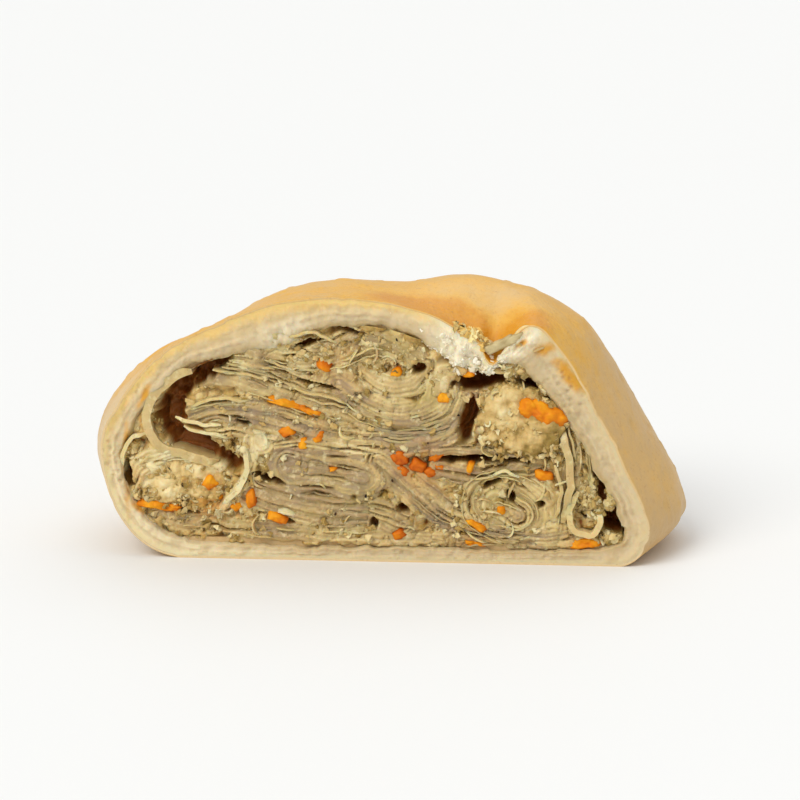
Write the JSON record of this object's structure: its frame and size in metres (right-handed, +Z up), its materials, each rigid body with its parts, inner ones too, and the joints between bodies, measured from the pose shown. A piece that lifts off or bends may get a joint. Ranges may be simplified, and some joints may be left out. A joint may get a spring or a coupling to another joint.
{
  "type": "halved vegetable pasty",
  "caption": "Half of a baked pasty cut across: a wrapped dough crust with a top seam and folded end, filled with layered cabbage, carrot and crumbly mince",
  "frame": {"origin": "Under the middle of the piece's bounding box, on the plane of its flat base.", "axes": "+X runs along the cut face, towards the side with the seam. +Y runs from the cut face to the folded end. +Z is up."},
  "size_m": [0.1202, 0.0736, 0.056],
  "materials": {
    "crust": "baked dough, golden and satin on top, paler and floury at the sides and the cut",
    "filling": "moist cooked cabbage leaves, carrot and crumbly mince",
    "leaf": "moist translucent cooked cabbage leaf",
    "carrot": "moist cooked carrot",
    "crumb": "crumbly cooked mince and dough crumbs",
    "pepper": "ground black pepper"
  },
  "bodies": {
    "root": {"crust": "crust", "filling": "filling"}
  },
  "joints": []
}
